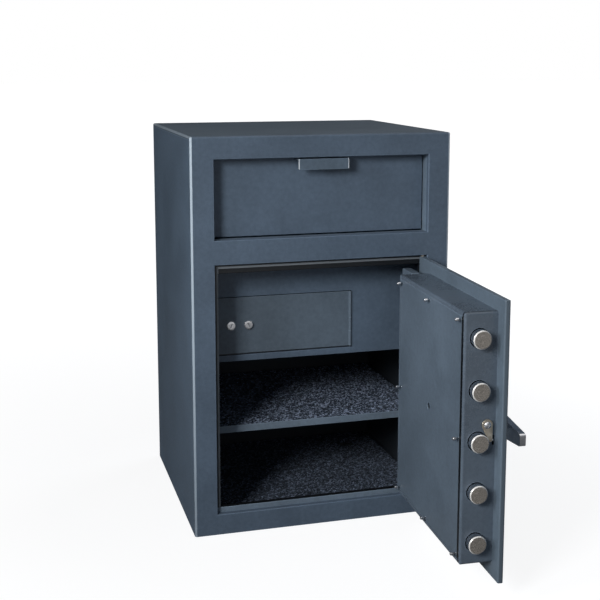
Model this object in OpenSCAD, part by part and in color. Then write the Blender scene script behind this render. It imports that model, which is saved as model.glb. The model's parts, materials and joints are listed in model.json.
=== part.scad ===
// Front-loading deposit safe with a tilting hopper, a bolted door and an inner locker.
// Millimetres. +Z is up, the front faces -Y, and the origin is the centre of the underside.
// The door is drawn closed, in the cabinet's own places, and then swung to its rest angle.

/* [Body] */
// Width of the body
body_w = 508; // [490:1:540]
// Height of the body
body_h = 762; // [755:1:800]
// Depth of the body
body_d = 460; // [440:1:520]
// Thickness of the side, top and back plates
skin = 6; // [4:0.5:8]
// Thickness of the front frame plate
front_t = 11; // [10.9:0.1:14]
// Thickness of the floor plate
floor_t = 12; // [8:1:16]
// Rounding of the body's outer edges
edge_r = 4; // [2:0.5:4]

/* [Openings] */
// Width of the front frame beside the openings
frame_side = 44; // [39:1:49]
// Height of the sill below the door opening
sill_h = 40; // [36:1:44]
// Height of the rail over the hopper opening
top_rail_h = 42; // [38:1:46]
// Height of the rail between the two openings
mid_rail_h = 46; // [42:1:50]
// Height of the hopper opening
hopper_open_h = 150; // [146:1:154]
// Chamfer round the front of each opening
open_chamfer = 1; // [0.5:0.5:2]

/* [Jamb] */
// Thickness of the jamb ring that the door plate rests on
jamb_t = 13; // [11:0.5:14]
// Width of the jamb's step at the bolt side
jamb_bolt_side = 8; // [7:0.5:8]
// Width of the jamb's step at the hinge side
jamb_hinge_side = 10.5; // [8:0.5:12]
// Width of the jamb's step at the top
jamb_top = 18; // [14:1:20]
// Width of the jamb's step at the sill
jamb_sill = 10; // [8:1:14]

/* [Door] */
// Thickness of the door plate
door_t = 10; // [9:0.5:10.5]
// Gap round the door plate at its sides and sill
door_gap = 2; // [1.5:0.5:3]
// Gap over the door plate
door_top_gap = 3; // [2:0.5:4]
// Distance of the hinge axis from the plate's hinge edge
hinge_inset = 5; // [4.5:0.5:6]
// Radius of the hinge pins
hinge_pin_r = 3.5; // [3:0.1:3.8]
// Length of hinge pin inside the plate
hinge_pin_in = 16; // [10:1:24]
// Length of hinge pin inside the frame
hinge_pin_out = 12; // [8:1:20]
// Angle that the door stands open at rest
door_open_angle = 87.5; // [0:0.5:100]

/* [Bolt-work pan] */
// Distance of the pan from the plate's free edge
pan_free_margin = 25; // [22:1:27]
// Distance of the pan from the plate's hinge edge
pan_hinge_margin = 57; // [50:1:64]
// Distance of the pan from the plate's lower edge
pan_low_margin = 27; // [22:1:32]
// Distance of the pan from the plate's upper edge
pan_top_margin = 23; // [18:1:28]
// Depth of the pan from the plate's inner face
pan_depth = 58.5; // [56:0.5:62]
// Thickness of the pan's walls
pan_wall = 3; // [2:0.5:4]
// Rounding of the pan's edges
pan_edge_r = 4; // [3:0.5:6]
// Width of the pan's rim round the cover
pan_rim = 8; // [7:0.5:10]
// Width of the ledge that the cover is screwed to
ledge_w = 18; // [15:1:22]
// Thickness of that ledge
ledge_t = 4; // [3:0.5:5]
// Thickness of the cover plate
cover_t = 2.5; // [2:0.5:3]
// Distance of the screws from the cover's side edges
screw_inset_side = 9; // [8:1:13]
// Distance of the screws from the cover's top and bottom edges
screw_inset_end = 6; // [5.5:0.5:9]
// Radius of the screw heads
screw_head_r = 3; // [2.8:0.1:4.5]
// Height of the screw heads
screw_head_h = 11; // [4:0.5:11.5]
// Width of the dead bar at the hinge side
dead_bar_w = 56; // [50:1:56]
// Thickness of the dead bar
dead_bar_t = 16; // [12:1:18]

/* [Locking bolts] */
// Radius of a locking bolt
bolt_r = 16; // [12:0.5:16]
// Number of locking bolts
bolt_count = 5; // [3:2:5]
// Distance of the lowest bolt's axis from the pan's lower end
bolt_end = 38.5; // [32:0.5:44]
// Depth of the bolt axes behind the plate
bolt_depth = 32; // [31:0.5:34]
// Length of bolt that stands out of the pan when drawn back
bolt_proud = 15; // [8:0.5:15]
// Length of a bolt
bolt_len = 62; // [50:1:66]
// Travel of the bolts
bolt_travel = 20; // [16:1:22]
// Clearance round a bolt in the pan's wall
bolt_clear = 1.2; // [0.6:0.1:2]
// Thickness of the bolt carriage
carriage_t = 8; // [6:1:8]
// Width of the carriage's upright bar
carriage_w = 22; // [18:1:26]

/* [Handle] */
// Distance of the handle's axis from the plate's free edge
handle_inset = 156; // [150:1:160]
// Height of the handle's axis over the plate's lower edge
handle_up = 225; // [220:1:228]
// Length of the lever from its axis
lever_len = 106; // [90:1:120]
// Radius of the lever's hub
lever_hub_r = 21; // [18:1:23]
// Half the width of the lever's tip
lever_tip_half = 11; // [8:0.5:14]
// Thickness of the lever
lever_t = 11; // [8:1:14]
// Distance of the lever from the door's face
lever_standoff = 45; // [38:1:50]
// Radius of the handle's spindle
spindle_r = 8; // [7:0.5:9]
// Angle that the crank leans before and after its travel
crank_lean = 25; // [23:0.5:27]
// Radius of the crank's pin
crank_pin_r = 4; // [3:0.5:5]
// Running clearance of a turning shaft in its bore
run_clear = 0.05; // [0.03:0.01:0.09]

/* [Combination lock] */
// Distance of the dial's axis from the plate's free edge
dial_inset = 208; // [205:1:212]
// Height of the dial's axis over the plate's lower edge
dial_up = 272; // [270:1:276]
// Radius of the dial
dial_r = 36; // [32:1:37]
// Radius of the dial ring
dial_ring_r = 42; // [40:1:44]
// Radius of the dial's knob
knob_r = 19; // [16:1:22]
// Radius of the dial spindle
dial_spindle_r = 4; // [3:0.5:5]
// Width of the lock case
lock_w = 62; // [58:1:64]
// Height of the lock case
lock_h = 83; // [78:1:84]
// Depth of the lock case
lock_d = 36; // [34:1:38]
// Wall of the lock case
lock_wall = 2.5; // [2:0.5:3]
// Travel of the lock bolt
lock_travel = 10; // [8:1:11]
// Thickness of the hard plate behind the lock
hard_t = 4; // [3:0.5:5]
// Radius of the lock's wheels
wheel_r = 22; // [18:1:24]

/* [Hopper] */
// Depth of the hopper panel behind the front face
hopper_recess = 28; // [26:1:32]
// Thickness of the hopper panel
hopper_t = 4; // [3:0.5:5]
// Height of the pivot axis over the hopper opening's lower edge
pivot_up = 12; // [11:0.5:14]
// Distance of the pivot axis behind the panel's front
pivot_back = 12; // [11:0.5:14]
// Radius of the pivot shaft
hopper_shaft_r = 5; // [4:0.5:5.5]
// Width of the pull lip
pull_w = 98; // [80:1:120]
// Height of the pull lip's front
pull_h = 20; // [16:1:26]
// Thickness of the pull lip's sheet
pull_t = 3; // [2:0.5:4]
// Length of the hopper's tray from the pivot
tray_len = 140; // [130:1:142]
// Angle between the hopper's panel and its tray
tray_angle = 118; // [110:1:122]
// Thickness of the tray and its side plates
tray_t = 3; // [2:0.5:3]
// Thickness of the liner round the hopper opening
liner_t = 3; // [2:0.5:4]

/* [Inner locker] */
// Depth of the locker's front behind the safe's front face
locker_y = 82; // [80:1:86]
// Thickness of the locker's plates
locker_t = 4; // [3:0.5:5]
// Distance of the locker's lower edge below the door opening's upper edge
locker_drop = 207.5; // [202:0.5:214]
// Depth of the locker
locker_d = 218; // [190:1:230]
// Distance of the roof's front below the divider plate
roof_under = 41; // [38:1:46]
// Height of the roof's back over the locker's lower edge
roof_back_up = 83.5; // [74:0.5:94]
// Width of the locker's door
locker_door_w = 270; // [260:1:276]
// Height of the locker's door
locker_door_h = 113; // [105:1:118]
// Height of the locker door's lower edge over the locker's lower edge
locker_door_up = 14; // [12:1:18]
// Distance of the locker's door from the opening's left edge
locker_door_side = 17.5; // [15:0.5:21]
// Gap round the locker's door
locker_gap = 1.5; // [1:0.1:2]
// Radius of the locker's hinge barrel
barrel_r = 3; // [2.5:0.1:3.5]
// Radius of the locker's hinge pin
barrel_pin_r = 1.5; // [1.2:0.1:1.8]
// Radius of a key nose
nose_r = 8.75; // [7.5:0.25:9]
// Distance between the two key noses
nose_pitch = 34.5; // [30:0.5:38]
// Distance of the outer nose from the locker door's free edge
nose_inset = 29; // [26:0.5:32]
// Length of a nose that stands out of the locker's door
nose_proud = 5; // [3:0.5:5]
// Travel of the locker's bolt
locker_bolt_travel = 10; // [7:1:11]

/* [Shelf and carpets] */
// Height of the shelf's sheet
shelf_z = 178; // [150:1:200]
// Thickness of the shelf's sheet
shelf_t = 2; // [1.5:0.5:3]
// Height of the shelf's front lip
shelf_lip_h = 14; // [12:1:18]
// Thickness of the carpets
carpet_t = 6; // [4:0.5:6]
// Gap between a carpet and the walls
carpet_gap = 6; // [4:1:12]
// Radius of the anchor holes
anchor_r = 7; // [5:0.5:8]
// Distance between the anchor holes, left to right
anchor_w = 340; // [300:1:360]
// Distance between the anchor holes, front to back
anchor_d = 290; // [240:1:300]

/* [Hidden] */
$fn = 64;

steel_blue = [0.27, 0.33, 0.38];
steel_light = [0.33, 0.39, 0.44];
chrome = [0.8, 0.81, 0.83];
raw_steel = [0.55, 0.53, 0.5];
bronze = [0.6, 0.47, 0.3];
heather = [0.16, 0.17, 0.19];
black = [0.08, 0.08, 0.09];

// heights, and half widths, of the openings
open_w = body_w - 2 * frame_side;
door_open_h = body_h - sill_h - mid_rail_h - hopper_open_h - top_rail_h;
door_z0 = sill_h;
door_z1 = sill_h + door_open_h;
hopper_z0 = door_z1 + mid_rail_h;
hopper_z1 = hopper_z0 + hopper_open_h;
open_x = open_w / 2;
inner_x = body_w / 2 - skin;
inner_back = body_d - skin;
inner_top = body_h - skin;

// the door plate and its hinge axis, closed
plate_x0 = -open_x + door_gap;
plate_x1 = open_x - 1.5 * door_gap;
plate_z0 = door_z0 + door_gap;
plate_z1 = door_z1 - door_top_gap;
plate_edge_r = 3;
hinge_x = plate_x1 - hinge_inset;
hinge_y = door_t / 2;
washer_t = door_gap - 0.1;
washer_r = door_t / 2 - 0.1;

// the jamb ring behind the front frame
jamb_y0 = front_t;
jamb_y1 = front_t + jamb_t;
jamb_lap = 10;

// the pan, its rim and the cover
pan_x0 = plate_x0 + pan_free_margin;
pan_x1 = plate_x1 - pan_hinge_margin;
pan_z0 = plate_z0 + pan_low_margin;
pan_z1 = plate_z1 - pan_top_margin;
pan_y1 = door_t + pan_depth;
cover_gap = 0.6;
cover_y1 = pan_y1 - 0.5;
cover_y0 = cover_y1 - cover_t;
cover_low = [pan_x0 + pan_rim, cover_y0, pan_z0 + pan_rim];
cover_high = [pan_x1 - pan_rim, cover_y1, pan_z1 - pan_rim];
ledge_y0 = cover_y0 - ledge_t;
screw_r = 1.9;
screw_len = 9;
screw_cols = [
    cover_low[0] + screw_inset_side,
    (cover_low[0] + cover_high[0]) / 2,
    cover_high[0] - screw_inset_side
];
screw_rows = [
    cover_low[2] + screw_inset_end,
    (cover_low[2] + cover_high[2]) / 2,
    cover_high[2] - screw_inset_end
];
screw_places = [for (c = [0:2]) for (r = [0:2]) if (!(c == 1 && r == 1)) [screw_cols[c], screw_rows[r]]];
dead_bar_y0 = jamb_y1 + 4;

// locking bolts and their carriage
bolt_y = door_t + bolt_depth;
bolt_mid_z = (plate_z0 + plate_z1) / 2;
bolt_pitch = 2 * (bolt_mid_z - pan_z0 - bolt_end) / (bolt_count - 1);
bolt_tip_x = pan_x0 - bolt_proud;
bolt_tip_chamfer = 2;
bolt_root_x = bolt_tip_x + bolt_len;
carriage_y0 = bolt_y - carriage_t / 2;
carriage_y1 = bolt_y + carriage_t / 2;
carriage_x1 = bolt_root_x + carriage_w;
carriage_half = (bolt_count - 1) / 2 * bolt_pitch + bolt_r;
arm_h = 28;
arm_reach = 70;
arm_z = 130;
stud_r = 5;
stud_head_r = 9;
stud_reach = 38;
stud_x = carriage_x1 + stud_reach;
slot_clear = 0.4;

// the handle and its crank
handle_x = plate_x0 + handle_inset;
handle_z = plate_z0 + handle_up;
crank_r = bolt_travel / (2 * sin(crank_lean));
crank_t = 8;
crank_y1 = carriage_y0 - 3;
crank_y0 = crank_y1 - crank_t;
crank_hub_r = 13;
crank_pin_x = handle_x + crank_r * sin(crank_lean);
crank_pin_low_z = handle_z - crank_r;
crank_pin_high_z = handle_z - crank_r * cos(crank_lean);
drive_arm_z0 = crank_pin_low_z - crank_pin_r - 11;
drive_arm_z1 = crank_pin_high_z + crank_pin_r + 9;
rose_r = 24;
rose_t = 6;

// the combination lock
dial_x = plate_x0 + dial_inset;
dial_z = plate_z0 + dial_up;
hard_y1 = door_t + hard_t;
lock_y1 = hard_y1 + lock_d;
lock_x0 = dial_x - lock_w / 2 - 1;
lock_z0 = dial_z - lock_h / 2 - 1.5;
lock_cover_t = 2;
lock_bolt_h = 24;
lock_bolt_z0 = dial_z - 18;
lock_bolt_y0 = bolt_y - 4;
lock_bolt_y1 = bolt_y + 4;
lock_bolt_in = lock_wall + lock_travel + 2;
lock_bolt_rest = 1;
cam_r = wheel_r - 8;
cam_t = 4;
wheel_t = 2.4;
wheel_step = 6;
wheel_y0 = hard_y1 + lock_wall + 3;
blocker_w = 12;
blocker_x1 = lock_x0 - lock_bolt_rest - 1;
key_hole = [dial_x - 19.8, dial_z - 22];
key_hole_r = 6;
case_hole_r = 3.5;
dial_gap = 1;
dial_t = 5;
dial_seat = 4;
ring_t = 11;
dial_edge = 1;
knob_len = 23;
knob_flare = 5;
knob_foot = 4;
knob_edge = 3;
grip_count = 24;
grip_r = 1.5;

// the detent lever on the pan's free side
detent_back = 16;
detent_y = door_t + detent_back;
detent_up = 28;
detent_z = bolt_mid_z + detent_up;
detent_eye_r = 9.5;
detent_t = 3.6;
detent_tail = 26;
detent_tail_r = 4;
detent_lean = 12;
detent_screw_r = 3;

// the hopper
panel_y0 = hopper_recess;
panel_y1 = hopper_recess + hopper_t;
pivot_y = panel_y0 + pivot_back;
pivot_z = hopper_z0 + pivot_up;
panel_gap = 2;
panel_x = open_x - panel_gap;
tray_x = panel_x - 5;
side_r = tray_len - 6;
liner_sill_y1 = panel_y0 - 0.5;
liner_y1 = panel_y1 + 1;
bush_wall = 3;
bush_r = hopper_shaft_r + bush_wall;
bush_flange_r = hopper_shaft_r + 2 * bush_wall;
bush_flange_t = 2;
bracket_t = 6;
bracket_half_h = 20;
bracket_end = 16;
bracket_x0 = open_x + liner_t + 2 * bush_flange_t;
shaft_end = bracket_x0 + bracket_t + bush_flange_t;
tray_back_y = pivot_y + tray_len;
baffle_y0 = tray_back_y + 8;
baffle_t = 3;
baffle_up = 30;
baffle_z0 = hopper_z0 + baffle_up;
divider_up = 22;
divider_z0 = door_z1 + divider_up;
divider_t = 4;

// the inner locker
locker_z = door_z1 - locker_drop;
locker_back_y = locker_y + locker_d;
roof_front_z = divider_z0 - roof_under;
roof_back_z = locker_z + roof_back_up;
locker_door_x0 = -open_x + locker_door_side;
locker_hinge_x = locker_door_x0 + locker_door_w;
locker_door_z0 = locker_z + locker_door_up;
locker_door_z1 = locker_door_z0 + locker_door_h;
barrel_x = locker_hinge_x + barrel_r - 0.2;
barrel_y = locker_y;
knuckle_gap = 0.3;
knuckle_z0 = locker_door_z0 + 0.28 * locker_door_h;
knuckle_z1 = locker_door_z0 + 0.53 * locker_door_h;
nose_x = [locker_door_x0 + nose_inset, locker_door_x0 + nose_inset + nose_pitch];
nose_z = locker_door_z0 + locker_door_h / 2 + 1.5;
nose_clear = 0.08;
case_wall = 2.5;
case_x0 = locker_door_x0 + 5;
case_past = 24;
case_x1 = nose_x[1] + case_past;
case_half_h = 22;
case_d = 22;
case_y0 = locker_y + locker_t;
case_y1 = case_y0 + case_d;
nose_len_in = 9;
locker_bolt_y0 = case_y0 + 1;
locker_bolt_t = 7;
locker_bolt_half_h = 6;
locker_bolt_x0 = case_x0 - 1.5;
locker_bolt_x1 = case_x0 + case_wall + locker_bolt_travel + 0.75;

// shelf, brackets and carpets
shelf_y0 = locker_y;
shelf_y1 = inner_back - 4;
shelf_x = inner_x - 2;
lip_z0 = shelf_z + carpet_t + shelf_t - shelf_lip_h;
bracket_len = 60;
bracket_inset = 30;
bracket_h = 18;
bracket_leaf = 3;
bracket_reach = 14;
anchor_y0 = (body_d - anchor_d) / 2;
carpet_cut_r = anchor_r + 13;

// places a shape given from the front face into the model's frame
module in_cabinet() {
    translate([0, -body_d / 2, 0]) children();
}

// the same for what rides on the door, swung to its rest angle
module on_door() {
    in_cabinet()
        translate([hinge_x, hinge_y, 0])
            rotate([0, 0, door_open_angle])
                translate([-hinge_x, -hinge_y, 0])
                    children();
}

// a box between two corners
module block(low, high) {
    translate(low) cube(high - low);
}

// a round bar along X, Y or Z from a start point
module bar_x(p, len, r) {
    translate(p) rotate([0, 90, 0]) cylinder(h = len, r = r);
}

module bar_y(p, len, r) {
    translate(p) rotate([-90, 0, 0]) cylinder(h = len, r = r);
}

module bar_z(p, len, r) {
    translate(p) cylinder(h = len, r = r);
}

// an outline drawn in X and Z, made solid from y0 to y1
module upright(y0, y1) {
    translate([0, y1, 0]) rotate([90, 0, 0]) linear_extrude(height = y1 - y0) children();
}

// an outline drawn in Y and Z, made solid from x0 to x1
module sideways(x0, x1) {
    translate([x0, 0, 0])
        rotate([90, 0, 90])
            linear_extrude(height = x1 - x0)
                children();
}

// a rectangle whose first two corners, at its low second side, are round
module round_sided(w, h, r) {
    translate([r, 0]) square([w - 2 * r, h]);
    translate([0, r]) square([w, h - r]);
    for (x = [r, w - r]) translate([x, r]) circle(r);
}

// a rectangle with four round corners
module round_rect(w, h, r) {
    translate([r, 0]) square([w - 2 * r, h]);
    translate([0, r]) square([w, h - 2 * r]);
    for (x = [r, w - r]) for (y = [r, h - r]) translate([x, y]) circle(r);
}

// a full-height plate of the body with its outer edges rounded, its face at y = 0
module body_plate(t) {
    intersection() {
        translate([-body_w / 2, 0, 0]) linear_extrude(height = body_h) round_sided(body_w, t, edge_r);
        sideways(-body_w / 2, body_w / 2) {
            square([t, body_h - edge_r]);
            translate([edge_r, 0]) square([t - edge_r, body_h]);
            translate([edge_r, body_h - edge_r]) circle(edge_r);
        }
        upright(0, t) {
            translate([-body_w / 2, 0]) square([body_w, body_h - edge_r]);
            translate([-body_w / 2 + edge_r, 0]) square([body_w - 2 * edge_r, body_h]);
            for (s = [-1, 1]) translate([s * (body_w / 2 - edge_r), body_h - edge_r]) circle(edge_r);
        }
    }
}

// half the outline of an opening's cut, wider by the chamfer at the front face
function flared(edge, way) = [
    [-1, edge + way * (open_chamfer + 1)], [open_chamfer, edge], [front_t + 1, edge]
];

// the cut for an opening in the front frame, with a chamfered front edge
module opening_cut(z0, z1) {
    low = flared(-open_x, -1);
    high = flared(open_x, 1);
    intersection() {
        translate([0, 0, z0 - 3])
            linear_extrude(height = z1 - z0 + 6)
                polygon([for (p = [low[0], low[1], low[2], high[2], high[1], high[0]]) [p[1], p[0]]]);
        sideways(-open_x - 3, open_x + 3)
            polygon([for (p = flared(z0, -1)) p, for (i = [2:-1:0]) flared(z1, 1)[i]]);
    }
}

module front_frame() {
    color(steel_blue)
        in_cabinet()
            difference() {
                body_plate(front_t);
                opening_cut(door_z0, door_z1);
                opening_cut(hopper_z0, hopper_z1);
                for (z = [door_z0 - hinge_pin_out, door_z1 - 1])
                    bar_z([hinge_x, hinge_y, z], hinge_pin_out + 1, hinge_pin_r);
            }
}

module side_panel(s) {
    color(steel_blue)
        in_cabinet()
            block([min(s * inner_x, s * body_w / 2), front_t, 0],
                  [max(s * inner_x, s * body_w / 2), inner_back, inner_top]);
}

module top_panel() {
    color(steel_blue)
        in_cabinet()
            upright(front_t, inner_back) {
                translate([-body_w / 2, inner_top]) square([body_w, skin - edge_r]);
                translate([-body_w / 2 + edge_r, inner_top]) square([body_w - 2 * edge_r, skin]);
                intersection() {
                    translate([-body_w / 2, inner_top]) square([body_w, skin]);
                    for (s = [-1, 1])
                        translate([s * (body_w / 2 - edge_r), body_h - edge_r]) circle(edge_r);
                }
            }
}

// the four places where the floor is bolted down
module at_anchors() {
    for (x = [-anchor_w / 2, anchor_w / 2])
        for (y = [anchor_y0, anchor_y0 + anchor_d])
            translate([x, y, 0]) children();
}

module floor_panel() {
    color(steel_blue)
        in_cabinet()
            difference() {
                block([-inner_x, front_t, 0], [inner_x, inner_back, floor_t]);
                at_anchors() bar_z([0, 0, -1], floor_t + 2, anchor_r);
            }
}

module back_panel() {
    color(steel_blue)
        in_cabinet()
            translate([0, body_d, 0]) rotate([0, 0, 180]) body_plate(skin);
}

module hopper_surround() {
    color(steel_blue)
        in_cabinet() {
            for (s = [-1, 1])
                block([s > 0 ? open_x : -open_x - liner_t, front_t, hopper_z0 - liner_t],
                      [s > 0 ? open_x + liner_t : -open_x, liner_y1, hopper_z1 + liner_t]);
            block([-open_x, front_t, hopper_z0 - liner_t], [open_x, liner_sill_y1, hopper_z0]);
            block([-open_x, front_t, hopper_z1], [open_x, liner_y1, hopper_z1 + liner_t]);
        }
}

module door_jamb() {
    low = [-open_x + jamb_bolt_side, door_z0 + jamb_sill];
    high = [open_x - jamb_hinge_side, door_z1 - jamb_top];
    color(steel_blue)
        in_cabinet()
            difference() {
                block([-open_x - jamb_lap, jamb_y0, door_z0 - jamb_lap],
                      [open_x + jamb_lap, jamb_y1, door_z1 + jamb_lap]);
                block([low[0], jamb_y0 - 1, low[1]], [high[0], jamb_y1 + 1, high[1]]);
            }
}

module divider_plate() {
    color(steel_blue)
        in_cabinet()
            block([-inner_x, front_t, divider_z0],
                  [inner_x, locker_y + locker_t, divider_z0 + divider_t]);
}

module fishing_baffle() {
    color(steel_blue)
        in_cabinet()
            block([-inner_x, baffle_y0, baffle_z0], [inner_x, baffle_y0 + baffle_t, inner_top]);
}

module locker_front() {
    color(steel_blue)
        in_cabinet()
            difference() {
                block([-inner_x, locker_y, locker_z], [inner_x, locker_y + locker_t, divider_z0]);
                block([locker_door_x0 - locker_gap, locker_y - 1, locker_door_z0 - locker_gap],
                      [locker_hinge_x + 2 * barrel_r, locker_y + locker_t + 1,
                       locker_door_z1 + locker_gap]);
            }
}

module locker_floor() {
    color(steel_blue)
        in_cabinet()
            block([-inner_x, locker_y + locker_t, locker_z],
                  [inner_x, locker_back_y, locker_z + locker_t]);
}

module locker_back() {
    color(steel_blue)
        in_cabinet()
            block([-inner_x, locker_back_y, locker_z], [inner_x, locker_back_y + locker_t, roof_back_z]);
}

module locker_roof() {
    y0 = locker_y + locker_t;
    y1 = locker_back_y + locker_t;
    color(steel_blue)
        in_cabinet()
            sideways(-inner_x, inner_x)
                polygon([[y0, roof_front_z], [y1, roof_back_z],
                         [y1, roof_back_z + locker_t], [y0, roof_front_z + locker_t]]);
}

// a hinge knuckle of the locker, bored for its pin, from z0 to z1
module knuckle(z0, z1, bore) {
    difference() {
        bar_z([barrel_x, barrel_y, z0], z1 - z0, barrel_r);
        bar_z([barrel_x, barrel_y, z0 - 1], z1 - z0 + 2, bore);
    }
}

module locker_hinge_knuckle() {
    color(steel_light)
        in_cabinet() {
            knuckle(knuckle_z0 + knuckle_gap, knuckle_z1 - knuckle_gap, barrel_pin_r);
            block([barrel_x + barrel_pin_r + 0.8, barrel_y, knuckle_z0 + knuckle_gap],
                  [locker_hinge_x + 2 * barrel_r, locker_y + locker_t, knuckle_z1 - knuckle_gap]);
        }
}

module locker_hinge_pin() {
    color(chrome)
        in_cabinet()
            bar_z([barrel_x, barrel_y, locker_door_z0], locker_door_h, barrel_pin_r);
}

module shelf() {
    color(steel_blue)
        in_cabinet() {
            block([-shelf_x, shelf_y0 + shelf_t, shelf_z], [shelf_x, shelf_y1, shelf_z + shelf_t]);
            block([-shelf_x, shelf_y0, lip_z0], [shelf_x, shelf_y0 + shelf_t, lip_z0 + shelf_lip_h]);
            block([-shelf_x, shelf_y1 - shelf_t, shelf_z - 8], [shelf_x, shelf_y1, shelf_z]);
        }
}

module shelf_brackets() {
    color(steel_blue)
        in_cabinet()
            for (s = [-1, 1])
                for (y = [shelf_y0 + bracket_inset, shelf_y1 - bracket_inset - bracket_len])
                    translate([s * inner_x, y, 0])
                        mirror([s > 0 ? 1 : 0, 0, 0]) {
                            block([0, 0, shelf_z - bracket_h], [bracket_leaf, bracket_len, shelf_z]);
                            block([bracket_leaf, 0, shelf_z - bracket_leaf],
                                  [bracket_reach, bracket_len, shelf_z]);
                        }
}

module shelf_carpet() {
    z = shelf_z + shelf_t;
    color(heather)
        in_cabinet()
            block([-inner_x + carpet_gap, shelf_y0 + shelf_t + 0.3, z],
                  [inner_x - carpet_gap, shelf_y1 - 1, z + carpet_t]);
}

module floor_carpet() {
    color(heather)
        in_cabinet()
            difference() {
                block([-inner_x + carpet_gap, jamb_y1 + 1, floor_t],
                      [inner_x - carpet_gap, inner_back - carpet_gap, floor_t + carpet_t]);
                at_anchors() bar_z([0, 0, floor_t - 1], carpet_t + 2, carpet_cut_r);
            }
}

module hinge_pins() {
    color(raw_steel)
        in_cabinet() {
            bar_z([hinge_x, hinge_y, door_z0 - hinge_pin_out],
                  hinge_pin_out + door_gap + hinge_pin_in, hinge_pin_r);
            bar_z([hinge_x, hinge_y, plate_z1 - hinge_pin_in],
                  hinge_pin_in + door_top_gap + hinge_pin_out, hinge_pin_r);
        }
}

module hinge_washer() {
    color(bronze)
        in_cabinet()
            difference() {
                bar_z([hinge_x, hinge_y, door_z0], washer_t, washer_r);
                bar_z([hinge_x, hinge_y, door_z0 - 1], washer_t + 2, hinge_pin_r);
            }
}

module hopper_brackets() {
    color(steel_blue)
        in_cabinet()
            for (s = [-1, 1])
                translate([s > 0 ? bracket_x0 : -bracket_x0 - bracket_t, 0, 0])
                    difference() {
                        block([0, front_t, pivot_z - bracket_half_h],
                              [bracket_t, pivot_y + bracket_end, pivot_z + bracket_half_h]);
                        bar_x([-1, pivot_y, pivot_z], bracket_t + 2, bush_r);
                    }
}

module hopper_bushes() {
    color(bronze)
        in_cabinet()
            for (s = [0, 1])
                mirror([s, 0, 0])
                    difference() {
                        union() {
                            bar_x([bracket_x0, pivot_y, pivot_z], bracket_t, bush_r);
                            bar_x([bracket_x0 - bush_flange_t, pivot_y, pivot_z],
                                  bush_flange_t, bush_flange_r);
                        }
                        bar_x([bracket_x0 - bush_flange_t - 1, pivot_y, pivot_z],
                              bracket_t + bush_flange_t + 2, hopper_shaft_r + run_clear);
                    }
}

module hopper_door() {
    color(steel_light)
        in_cabinet()
            block([-panel_x, panel_y0, hopper_z0 + panel_gap], [panel_x, panel_y1, hopper_z1 - panel_gap]);
}

module hopper_pull() {
    top = hopper_z1 - panel_gap - 1;
    color(steel_light)
        in_cabinet() {
            block([-pull_w / 2, pull_t, top - pull_t], [pull_w / 2, panel_y0, top]);
            translate([-pull_w / 2, 0, top - pull_h]) upright(0, pull_t) round_rect(pull_w, pull_h, 3);
        }
}

// a pie slice of the hopper's side, from the panel round to the tray
module hopper_side(s) {
    reach = 2 * side_r;
    color(steel_light)
        in_cabinet()
            translate([0, pivot_y, pivot_z])
                difference() {
                    sideways(min(s * tray_x, s * (tray_x + tray_t)), max(s * tray_x, s * (tray_x + tray_t)))
                        intersection() {
                            circle(side_r);
                            union() {
                                polygon([[0, 0], [0, reach], [reach, reach],
                                         [reach * sin(tray_angle), reach * cos(tray_angle)]]);
                                translate([panel_y1 - pivot_y, -6]) square([bush_flange_r, side_r]);
                                circle(bush_flange_r);
                            }
                            translate([panel_y1 - pivot_y, -reach]) square([2 * reach, 2 * reach]);
                        }
                    bar_x([-panel_x - 1, 0, 0], 2 * panel_x + 2, hopper_shaft_r);
                }
}

module hopper_tray() {
    color(steel_light)
        in_cabinet()
            translate([0, pivot_y, pivot_z])
                rotate([90 - tray_angle, 0, 0])
                    block([-tray_x, hopper_shaft_r + 0.5, -tray_t], [tray_x, tray_len, 0]);
}

module hopper_shaft() {
    color(raw_steel)
        in_cabinet() bar_x([-shaft_end, pivot_y, pivot_z], 2 * shaft_end, hopper_shaft_r);
}

module door_plate() {
    w = plate_x1 - plate_x0;
    color(steel_light)
        on_door()
            difference() {
                translate([plate_x0, 0, plate_z0])
                    linear_extrude(height = plate_z1 - plate_z0)
                        round_rect(w, door_t, plate_edge_r);
                for (z = [plate_z0 - 1, plate_z1 - hinge_pin_in - 1])
                    bar_z([hinge_x, hinge_y, z], hinge_pin_in + 2, hinge_pin_r + run_clear);
                bar_y([handle_x, -1, handle_z], door_t + 2, spindle_r + run_clear);
                bar_y([dial_x, -1, dial_z], door_t + 2, dial_spindle_r + run_clear);
            }
}

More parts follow.
